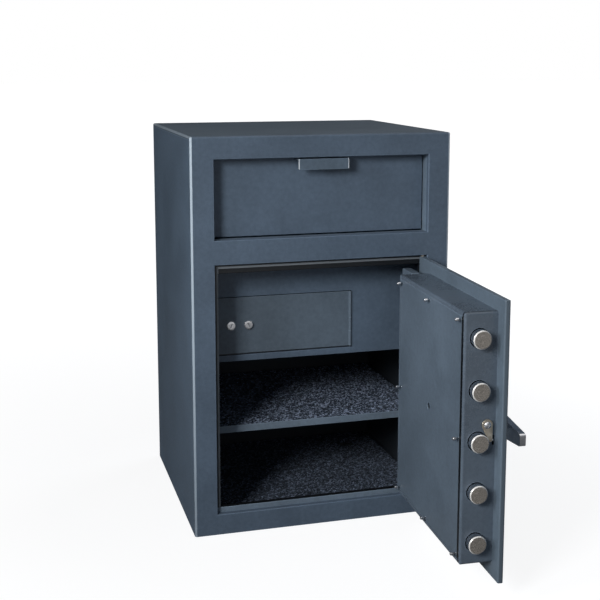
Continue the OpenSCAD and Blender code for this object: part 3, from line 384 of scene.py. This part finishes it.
def rubbedCorners(tree, place):    # a painted highlight, up to 1 on the rounded upright corners and fading downwards, less on the long top corners
    split = splitPlace(tree, place)
    across, back, high = [mathNode(tree, "GREATER_THAN", mathNode(tree, "ABSOLUTE", way), cornerHighlight[axis])
                          for axis, way in zip("xyz", split)]
    rise = spread(tree, split[2], cornerHighlight["foot"], 1.0, 0.0, cornerHighlight["z"])
    upright = multiply(tree, across, back, rise)
    along = multiply(tree, across, high, cornerHighlight["along"])
    return mathNode(tree, "MAXIMUM", upright, along)


def paintBands(tree, place, base, bands):    # painted shade on the rebate's outer rim: painted shadow, then a grey line of painted highlight, then painted shadow again
    across, back, rise = splitPlace(tree, place)
    side = mathNode(tree, "SUBTRACT", bands["x"], mathNode(tree, "ABSOLUTE", across))
    inward = mathNode(tree, "MINIMUM", side, mathNode(tree, "SUBTRACT", bands["z"], rise))
    ramp = rampBetween(tree, spread(tree, inward, 0.0, 1.0, 0.0, bands["wide"]), bands["stops"])
    return blendColours(tree, mathNode(tree, "LESS_THAN", rise, bands["sill"]), ramp, base)


def paintEnds(tree, place, base, endHighlight):    # painted highlights on the pull's ends
    across, back, rise = splitPlace(tree, place)
    beyond = mathNode(tree, "GREATER_THAN", mathNode(tree, "ABSOLUTE", across), endHighlight["x"])
    front = mathNode(tree, "LESS_THAN", back, endHighlight["y"])
    return blendColours(tree, multiply(tree, beyond, front), base, tone(*endHighlight["tone"]))


def paintFoot(tree, place, base, foot):    # a painted shadow along the lower edge
    below = mathNode(tree, "LESS_THAN", splitPlace(tree, place)[2], foot["z"])
    return blendColours(tree, below, base, tone(*foot["tone"]))


paintParts = {"endHighlight": paintEnds, "foot": paintFoot, "bands": paintBands}


def shadesOf(colour, shades):    # stops for a ramp, each a share of one colour
    return [(position, colour, share) for position, share in shades]


def makePaint(name, look):    # textured coat: fine orange peel, faint clouds, small darker pits, edges painted paler as a highlight
    material, tree, shader, place = blankMaterial(name, Specular_IOR_Level=coat["specular"])
    clouds = noiseField(tree, place, *coat["clouds"])
    mottle = noiseField(tree, place, *coat["mottle"])
    peel = noiseField(tree, place, coat["grain"], *coat["peel"])
    pitScale, pitDetail = coat["pits"]
    pits = noiseField(tree, place, coat["grain"] * pitScale, pitDetail)
    uneven = mathNode(tree, "SUBTRACT", mottle, 0.5)
    cast = mathNode(tree, "MULTIPLY_ADD", uneven, coat["mottleShare"], clouds)
    base = rampBetween(tree, cast, shadesOf(look["tone"], coat["shades"]))
    pitted = spread(tree, pits, 0.0, coat["pitShare"], coat["pitFrom"], coat["pitTo"])
    speckled = blendColours(tree, pitted, base, tone(*look["tone"], coat["pitShade"]))
    wornAndHighlighted = wornEdges(tree)
    # painted highlight: sharp edges blended towards a paler tone
    coloured = blendColours(tree, multiply(tree, wornAndHighlighted, edgeWearAndHighlight["share"]), speckled,
                            tone(*look["tone"], edgeWearAndHighlight["paler"]))
    # paints marked outside get the painted highlight on the body's rounded corners
    if look.get("outside"):
        corners = rubbedCorners(tree, place)
        coloured = blendColours(tree, corners, coloured, tone(*cornerHighlight["tone"]))
        wornAndHighlighted = mathNode(tree, "MAXIMUM", wornAndHighlighted, corners)
    for part, paintPart in paintParts.items():
        if part in look:
            coloured = paintPart(tree, place, coloured, look[part])
    if "inside" in look:
        dark = rampBetween(tree, clouds, shadesOf(look["inside"], coat["insideShades"]))
        coloured = blendColours(tree, insideShell(tree, place), coloured, dark)
    tree.links.new(coloured, shader.inputs["Base Color"])
    sheen = mathNode(tree, "ADD", clouds, multiply(tree, peel, coat["peelGloss"]))
    matt = spread(tree, sheen, *look["rough"], *coat["glossRange"])
    rough = mathNode(tree, "MULTIPLY_ADD", wornAndHighlighted, -edgeWearAndHighlight["smoother"], matt)
    tree.links.new(rough, shader.inputs["Roughness"])
    relief(tree, shader, peel, coat["relief"], look["grainDepth"])
    return material


joint = {    # dark lines along the door, as reaches from the cover's edge and from the plate's edge; on the plate's free-edge face the line is painted shade
    "onCover": 0.0060, "onPan": 0.0036, "underCover": 0.0004, "onPlate": 0.0008, "past": 1.0, "blur": 0.0006,
    "tone": (9, 11, 13), "edgeShade": (82, 94, 105),
}


def makeJointPaint(name, look, nearEdge, farEdge, dark):    # a paint with a darker strip along the door
    material = makePaint(name, look)
    tree = material.node_tree
    shader = tree.nodes["Principled BSDF"]
    along = dotNode(tree, tree.nodes["Texture Coordinate"].outputs["Object"], towardsTips)
    enter = spread(tree, along, 0.0, 1.0, nearEdge, nearEdge + joint["blur"])
    leave = spread(tree, along, 1.0, 0.0, farEdge, farEdge + joint["blur"])
    under = shader.inputs["Base Color"].links[0].from_socket
    striped = blendColours(tree, multiply(tree, enter, leave), under, tone(*dark))
    tree.links.new(striped, shader.inputs["Base Color"])
    return material


boltLook = {    # the face is the sawn end, the chamfer runs round it and is painted bright as a highlight ring
    "face": 0.0004, "chamfer": 0.0021, "rings": (2600.0, 3.0), "speckle": (900.0, 4.0, 0.7),
    "sawn": [(0.32, (72, 68, 63)), (0.5, (136, 130, 123)), (0.68, (184, 178, 170))],
    "plated": [(0.35, (188, 189, 192)), (0.65, (226, 226, 228))], "chamferHighlight": (228, 227, 224),
    "chamferHighlightShare": 0.7, "faceBare": 0.55, "roughShank": (0.08, 0.20), "roughEnd": (0.38, 0.62),
    "speckleHigh": 3.0, "relief": (0.25, 0.00006),
}


def makeBoltSteel():    # plated shank with turning marks, sawn matte end face, chamfer painted as a bright highlight ring
    tip = farthest("locking_bolt_3", towardsTips)
    material, tree, shader, place = blankMaterial("boltSteel")
    along = dotNode(tree, place, towardsTips)
    face = mathNode(tree, "GREATER_THAN", along, tip - boltLook["face"])
    beyond = mathNode(tree, "GREATER_THAN", along, tip - boltLook["chamfer"])
    chamfer = mathNode(tree, "SUBTRACT", beyond, face)
    ringScale, ringDetail = boltLook["rings"]
    rings = addNode(tree, "TexNoise", {"noise_dimensions": "1D"}, W=along, Scale=ringScale,
                    Detail=ringDetail).outputs["Fac"]
    speckle = noiseField(tree, place, *boltLook["speckle"])
    sawn = rampBetween(tree, speckle, boltLook["sawn"])
    plated = rampBetween(tree, rings, boltLook["plated"])
    # painted highlight: the chamfer ring is a pale tone, mostly not metal
    shank = blendColours(tree, chamfer, plated, tone(*boltLook["chamferHighlight"]))
    tree.links.new(blendColours(tree, face, shank, sawn), shader.inputs["Base Color"])
    bareFace = multiply(tree, face, boltLook["faceBare"])
    matteFaceAndPaintedRing = mathNode(tree, "MULTIPLY_ADD", chamfer, boltLook["chamferHighlightShare"], bareFace)
    tree.links.new(mathNode(tree, "SUBTRACT", 1.0, matteFaceAndPaintedRing), shader.inputs["Metallic"])
    roughShank = spread(tree, rings, *boltLook["roughShank"])
    roughEnd = spread(tree, speckle, *boltLook["roughEnd"])
    low = multiply(tree, roughShank, mathNode(tree, "SUBTRACT", 1.0, face))
    tree.links.new(mathNode(tree, "MULTIPLY_ADD", roughEnd, face, low), shader.inputs["Roughness"])
    grit = multiply(tree, speckle, boltLook["speckleHigh"])
    relief(tree, shader, mathNode(tree, "MULTIPLY_ADD", grit, face, rings), *boltLook["relief"])
    return material


metals = {
    "chrome": {"low": (190, 192, 196), "high": (228, 228, 230), "rough": (0.05, 0.14), "grain": 240.0,
               "depth": 0.00003},
    "rawSteel": {"low": (118, 114, 108), "high": (160, 156, 150), "rough": (0.28, 0.45), "grain": 420.0,
                 "depth": 0.00008},
    "bronze": {"low": (172, 160, 143), "high": (226, 216, 199), "rough": (0.24, 0.42), "grain": 520.0,
               "depth": 0.00012},
}
metalNoise = {"smudgeScale": 0.2, "smudge": (4.0, 0.6), "grain": (4.0, 0.65), "from": 0.3, "to": 0.7,
              "relief": 0.3}


def makeMetal(name, look):    # plating or bare metal: smudges change its gloss, fine lines its relief
    material, tree, shader, place = blankMaterial(name, Metallic=1.0)
    smudge = noiseField(tree, place, look["grain"] * metalNoise["smudgeScale"], *metalNoise["smudge"])
    grain = noiseField(tree, place, look["grain"], *metalNoise["grain"])
    stops = [(metalNoise["from"], look["low"]), (metalNoise["to"], look["high"])]
    tree.links.new(rampBetween(tree, smudge, stops), shader.inputs["Base Color"])
    tree.links.new(spread(tree, smudge, *look["rough"]), shader.inputs["Roughness"])
    relief(tree, shader, grain, metalNoise["relief"], look["depth"])
    return material


enamels = {
    "dialEnamel": {"low": (8, 8, 10), "high": (16, 16, 19), "rough": (0.16, 0.28)},
    "markEnamel": {"low": (214, 214, 210), "high": (236, 236, 232), "rough": (0.35, 0.47)},
}
enamelNoise = {"peel": 380.0, "from": 0.35, "to": 0.65, "coat": 0.4, "coatRough": 0.08,
               "relief": (0.2, 0.00005)}


def makeEnamel(name, look):
    material, tree, shader, place = blankMaterial(name, Coat_Weight=enamelNoise["coat"],
                                                  Coat_Roughness=enamelNoise["coatRough"])
    peel = noiseField(tree, place, enamelNoise["peel"])
    stops = [(enamelNoise["from"], look["low"]), (enamelNoise["to"], look["high"])]
    tree.links.new(rampBetween(tree, peel, stops), shader.inputs["Base Color"])
    tree.links.new(spread(tree, peel, *look["rough"]), shader.inputs["Roughness"])
    relief(tree, shader, peel, *enamelNoise["relief"])
    return material


felts = {
    "shelfFelt": [(0.42, (9, 11, 14)), (0.66, (66, 76, 92)), (1.0, (162, 176, 202))],
    # the floor's felt is a darker copy of the shelf's, painted shade
    "shadedFloorFelt": [(0.42, (6, 7, 9)), (0.66, (40, 46, 56)), (1.0, (112, 123, 144))],
}
feltLook = {"curl": (420.0, 4.0, 0.75), "curlShare": 0.9, "tuftScale": 320.0, "relief": (0.9, 0.0012),
            "coolTint": (0.62, 0.76, 1.0, 1.0), "sheen": 0.15, "sheenRough": 0.6, "specular": 0.12,
            "rough": 0.95}


def makeFelt(name, stops):    # heather needle felt: near-black ground, blue-grey tufts of every brightness, which are the felt's colours and also painted shade and light of the pile
    material, tree, shader, place = blankMaterial(
        name, Specular_IOR_Level=feltLook["specular"], Specular_Tint=feltLook["coolTint"],
        Sheen_Weight=feltLook["sheen"], Sheen_Roughness=feltLook["sheenRough"],
        Sheen_Tint=feltLook["coolTint"], Roughness=feltLook["rough"])
    curl = noiseField(tree, place, *feltLook["curl"])
    tufts = addNode(tree, "TexVoronoi", Vector=place, Scale=feltLook["tuftScale"]).outputs["Color"]
    tuft = addNode(tree, "SeparateColor", Color=tufts).outputs[0]
    mixed = mathNode(tree, "MULTIPLY_ADD", mathNode(tree, "SUBTRACT", curl, 0.5), feltLook["curlShare"], tuft)
    tree.links.new(rampBetween(tree, mixed, stops), shader.inputs["Base Color"])
    relief(tree, shader, mathNode(tree, "ADD", curl, tuft), *feltLook["relief"])
    return material


coverEdge = farthest("door_cover", towardsTips)
plateEdge = farthest("door_plate", towardsTips)
strips = {    # the paint under a dark strip, the strip's near and far edges and its tone
    "coverPaint": ("doorPaint", coverEdge - joint["onCover"], coverEdge + joint["past"], joint["tone"]),
    "panPaint": ("panPaint", coverEdge - joint["underCover"], coverEdge + joint["onPan"], joint["tone"]),
    # the plate's free-edge face gets painted shade
    "litPlatePaint": ("litPlatePaint", plateEdge - joint["onPlate"], plateEdge + joint["past"], joint["edgeShade"]),
}
finish = {name: makePaint(name, look) for name, look in paints.items() if name not in strips}
for name, (under, nearEdge, farEdge, dark) in strips.items():
    finish[name] = makeJointPaint(name, paints[under], nearEdge, farEdge, dark)
finish.update({name: makeMetal(name, look) for name, look in metals.items()})
finish["boltSteel"] = makeBoltSteel()
finish.update({name: makeEnamel(name, look) for name, look in enamels.items()})
finish.update({name: makeFelt(name, stops) for name, stops in felts.items()})
print("finishes:", len(finish))


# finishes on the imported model's own pieces

finishOf = {
    "shadedTopPaint": ["top_panel"],
    "shellPaint": ["side_panel_left", "side_panel_right", "floor_panel", "back_panel"],
    "bodyPaint": ["front_frame", "divider_plate", "fishing_baffle", "locker_front", "locker_floor",
                  "locker_back", "locker_roof", "shelf_brackets", "hopper_brackets", "hopper_tray",
                  "hopper_side_left", "hopper_side_right", "hopper_door"],
    "pullPaint": ["hopper_pull"],
    "litLiningPaint": ["hopper_surround", "shelf"],
    "litJambPaint": ["door_jamb"],
    "coverPaint": ["door_cover"],
    "litPlatePaint": ["door_plate"],
    "panPaint": ["door_pan"],
    "doorPaint": ["dead_bar", "locker_hinge_knuckle"],
    "lockerPaint": ["locker_door"],
    "boltSteel": ["locking_bolt_%d" % i for i in range(1, 6)],
    "chrome": ["lever_handle", "handle_rose", "dial_ring", "guard_nose", "renter_nose", "cover_screws",
               "detent_screw", "locker_hinge_pin"],
    "rawSteel": ["hinge_pins", "hopper_shaft", "hard_plate", "lock_case", "guide_studs", "bolt_carriage",
                 "handle_spindle", "dial_spindle", "locker_lock_case"],
    "bronze": ["hinge_washer", "hopper_bushes", "lock_cover", "lock_wheels", "lock_bolt", "detent_lever",
               "locker_bolt"],
    "dialEnamel": ["combination_dial"],
}
softEdges = {    # edge rounding in metres, and its steps
    "door_plate": (0.0012, 3), "door_cover": (0.0005, 2), "dead_bar": (0.0010, 2), "door_jamb": (0.0010, 2),
    "hopper_door": (0.0012, 3), "hopper_pull": (0.0009, 3), "hopper_surround": (0.0008, 2),
    "locker_front": (0.0008, 2), "locker_floor": (0.0008, 2), "locker_door": (0.0006, 2),
    "shelf": (0.0007, 2), "shelf_brackets": (0.0008, 2), "lever_handle": (0.0016, 3),
    "handle_rose": (0.0010, 3), "detent_lever": (0.0006, 3), "guard_nose": (0.0004, 2),
    "renter_nose": (0.0004, 2), "cover_screws": (0.0003, 2), "detent_screw": (0.0003, 2),
    "combination_dial": (0.0004, 2),
    "hopper_tray": (0.0006, 2), "hopper_side_left": (0.0006, 2), "hopper_side_right": (0.0006, 2),
}
softEdges.update({"locking_bolt_%d" % i: (0.0005, 3) for i in range(1, 6)})
tightCorners = {"lever_handle", "hopper_pull", "locker_door"}    # a free bevel throws spikes on these
rounding = {"weld": 0.00001, "angle": 32, "weight": 50}

for finishName, names in finishOf.items():
    for name in names:
        for slot in cadNodes[name].material_slots:
            slot.material = finish[finishName]


def softenEdges(node, width, steps, clamped):
    weld = node.modifiers.new("weld", "WELD")
    weld.merge_threshold = rounding["weld"]
    bevel = node.modifiers.new("edge", "BEVEL")
    bevel.width = width
    bevel.segments = steps
    bevel.limit_method = "ANGLE"
    bevel.angle_limit = math.radians(rounding["angle"])
    bevel.use_clamp_overlap = clamped
    bevel.miter_outer = "MITER_ARC"
    bevel.loop_slide = False
    shade = node.modifiers.new("shade", "WEIGHTED_NORMAL")
    shade.mode = "FACE_AREA"
    shade.weight = rounding["weight"]


for name, (width, steps) in softEdges.items():
    softenEdges(cadNodes[name], width, steps, name in tightCorners)
print("finishes set on", sum(len(names) for names in finishOf.values()), "nodes, edges softened on",
      len(softEdges))


# carpets, cut to the CAD slabs that they replace

carpet = {"step": 0.0031, "pile": 0.0024, "edgeDrop": 0.0012, "edgeWander": 0.0006, "wave": 0.0004,
          "waveScale": 18, "seed": 11, "holeRadius": 0.020, "anchorX": 0.170, "anchorY": 0.145}


def pileRows(work, low, high, countX, countY):    # the pile's points, each at its own height
    stepX, stepY = (high.x - low.x) / countX, (high.y - low.y) / countY
    rng = random.Random(carpet["seed"])
    rows = []
    for j in range(countY + 1):
        rows.append([])
        for i in range(countX + 1):
            x, y = low.x + i * stepX, low.y + j * stepY
            rim = min(i, countX - i, j, countY - j)
            drop = (carpet["edgeDrop"] if rim == 0 else 0.0) + carpet["pile"] * rng.random()
            wave = carpet["wave"] * noise.noise(Vector((x, y, 0)) * carpet["waveScale"])
            if rim == 0:    # the cut edge wanders a little inwards
                inward = carpet["edgeWander"] * rng.random()
                x += inward * ((i == 0) - (i == countX))
                y += inward * ((j == 0) - (j == countY))
            rows[-1].append(work.verts.new((x, y, high.z - drop + min(wave, 0))))
    return rows


def closeDown(work, foot):    # walls from the open edges down to a flat underside
    sides = [edge for edge in work.edges if edge.is_boundary]
    walls = bmesh.ops.extrude_edge_only(work, edges=sides)["geom"]
    for vertex in [item for item in walls if isinstance(item, bmesh.types.BMVert)]:
        vertex.co.z = foot
    loops = [edge for edge in work.edges if edge.is_boundary]
    bmesh.ops.triangle_fill(work, edges=loops, use_beauty=False)
    bmesh.ops.recalc_face_normals(work, faces=work.faces)


def makeCarpet(name, node, felt, holes):
    low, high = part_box(node)
    wide, deep = high.x - low.x, high.y - low.y
    countX, countY = round(wide / carpet["step"]), round(deep / carpet["step"])
    work = bmesh.new()
    rows = pileRows(work, low, high, countX, countY)
    for j in range(countY):
        for i in range(countX):
            middle = Vector((low.x + (i + 0.5) * wide / countX, low.y + (j + 0.5) * deep / countY))
            if all((middle - hole).length >= carpet["holeRadius"] for hole in holes):
                work.faces.new((rows[j][i], rows[j][i + 1], rows[j + 1][i + 1], rows[j + 1][i]))
    for vertex in [v for v in work.verts if not v.link_faces]:
        work.verts.remove(vertex)
    closeDown(work, low.z)
    mesh = meshFrom(name, work)
    mesh.shade_flat()
    piece = meshPiece(name, mesh, finish[felt], "cabinet")
    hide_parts(node)
    return piece, (wide, deep)


anchors = [Vector((sx * carpet["anchorX"], sy * carpet["anchorY"])) for sx in (-1, 1) for sy in (-1, 1)]
shelfCarpet, shelfCut = makeCarpet("shelfCarpet", "shelf_carpet", "shelfFelt", [])
floorCarpet, floorCut = makeCarpet("floorCarpet", "floor_carpet", "shadedFloorFelt", anchors)
print("carpets:", [round(side, 3) for side in shelfCut + floorCut])


# dial marks: a hundred strokes and plain numbers on the dial, one index mark on its ring

dialMarks = {
    "strokes": 100, "numberEvery": 10, "midEvery": 5, "faceOut": 0.0150, "proud": 0.00012,
    "strokeEnd": 0.0345, "shortStroke": 0.0016, "midStroke": 0.0024, "longStroke": 0.0034,
    "strokeWide": 0.00038, "numberRadius": 0.0281, "numberSize": 0.0052, "numberSteps": 4,
    "indexRadius": 0.0392, "indexLong": 0.0046, "indexWide": 0.0011, "indexThick": 0.0011,
    "indexLift": 0.0004,
}
dialCentre = Vector(joints["dial_turn"]["pos_m"])


def dialPlace(angle, radius, out):    # clockwise from the top, as seen from outside
    side = up.cross(outOfFace)
    across = side * math.cos(angle) - up * math.sin(angle)
    away = side * math.sin(angle) + up * math.cos(angle)
    matrix = Matrix((across, away, outOfFace)).transposed().to_4x4()
    matrix.translation = dialCentre + outOfFace * out + away * radius
    return matrix


def addStroke(work, matrix, wide, high, thick):
    bmesh.ops.create_cube(work, size=1.0, matrix=matrix @ Matrix.Diagonal((wide, high, thick, 1)))


def numberMesh(text):
    curve = bpy.data.curves.new("number" + text, "FONT")
    curve.body = text
    curve.size = dialMarks["numberSize"]
    curve.extrude = dialMarks["proud"] / 2
    curve.align_x = "CENTER"
    curve.align_y = "CENTER"
    curve.resolution_u = dialMarks["numberSteps"]
    holder = bpy.data.objects.new("number" + text, curve)
    scene.collection.objects.link(holder)
    bpy.context.view_layer.update()
    mesh = bpy.data.meshes.new_from_object(holder.evaluated_get(bpy.context.evaluated_depsgraph_get()))
    bpy.data.objects.remove(holder)
    return mesh


def strokeLong(mark):
    if mark % dialMarks["numberEvery"] == 0:
        return dialMarks["longStroke"]
    return dialMarks["midStroke" if mark % dialMarks["midEvery"] == 0 else "shortStroke"]


def makeDialMarks():
    turn = 2 * math.pi / dialMarks["strokes"]
    work = bmesh.new()
    for mark in range(dialMarks["strokes"]):
        long = strokeLong(mark)
        matrix = dialPlace(turn * mark, dialMarks["strokeEnd"] - long / 2, dialMarks["faceOut"])
        addStroke(work, matrix, dialMarks["strokeWide"], long, 2 * dialMarks["proud"])
    for mark in range(0, dialMarks["strokes"], dialMarks["numberEvery"]):
        mesh = numberMesh(str(mark))
        mesh.transform(dialPlace(turn * mark, dialMarks["numberRadius"], dialMarks["faceOut"]))
        work.from_mesh(mesh)
        bpy.data.meshes.remove(mesh)
    meshPiece("dialMarks", meshFrom("dialMarks", work), finish["markEnamel"], "dial")
    work = bmesh.new()
    matrix = dialPlace(0.0, dialMarks["indexRadius"], dialMarks["faceOut"] + dialMarks["indexLift"])
    addStroke(work, matrix, dialMarks["indexWide"], dialMarks["indexLong"], dialMarks["indexThick"])
    meshPiece("indexMark", meshFrom("indexMark", work), finish["markEnamel"], "main_door")


makeDialMarks()
print("dial marks")


# the bright pin in the slot beside the middle bolt

slotPin = {"height": 0.2815, "offPlate": 0.0042, "radius": 0.0019, "proud": -0.0005, "depth": 0.0030,
           "steps": 24, "domeAngles": (0.4, 0.8, 1.2)}


def turnedMesh(outline, centre, axis, steps):    # outline is (radius, way along the axis)
    work = bmesh.new()
    first = axis.orthogonal().normalized()
    second = axis.cross(first)
    angles = [2 * math.pi * i / steps for i in range(steps)]
    rings = []
    for radius, way in outline:
        middle = centre + axis * way
        if radius == 0:
            rings.append([work.verts.new(middle)])
            continue
        spokes = [(first * math.cos(angle) + second * math.sin(angle)) * radius for angle in angles]
        rings.append([work.verts.new(middle + spoke) for spoke in spokes])
    for lower, upper in zip(rings, rings[1:]):
        for i in range(steps):
            j = (i + 1) % steps
            corners = [lower[i % len(lower)], lower[j % len(lower)],
                       upper[j % len(upper)], upper[i % len(upper)]]
            work.faces.new(list(dict.fromkeys(corners)))    # a triangle where a ring is one point
    bmesh.ops.recalc_face_normals(work, faces=work.faces)
    mesh = meshFrom("turned", work)
    mesh.shade_smooth()
    return mesh


def makeSlotPin():
    tipSide = farthest("door_pan", towardsTips) - slotPin["depth"]
    outSide = farthest("door_pan", outOfFace) - slotPin["offPlate"]
    centre = towardsTips * tipSide + outOfFace * outSide
    centre.z = slotPin["height"]
    radius, out = slotPin["radius"], slotPin["depth"] + slotPin["proud"]
    dome = radius / 2
    outline = [(0, 0), (radius, 0), (radius, out - dome)]
    for angle in slotPin["domeAngles"]:
        outline.append((radius * math.cos(angle), out - dome + dome * math.sin(angle)))
    outline.append((0, out))
    mesh = turnedMesh(outline, centre, towardsTips, slotPin["steps"])
    meshPiece("slotPin", mesh, finish["chrome"], "main_door")


makeSlotPin()
print("slot pin")
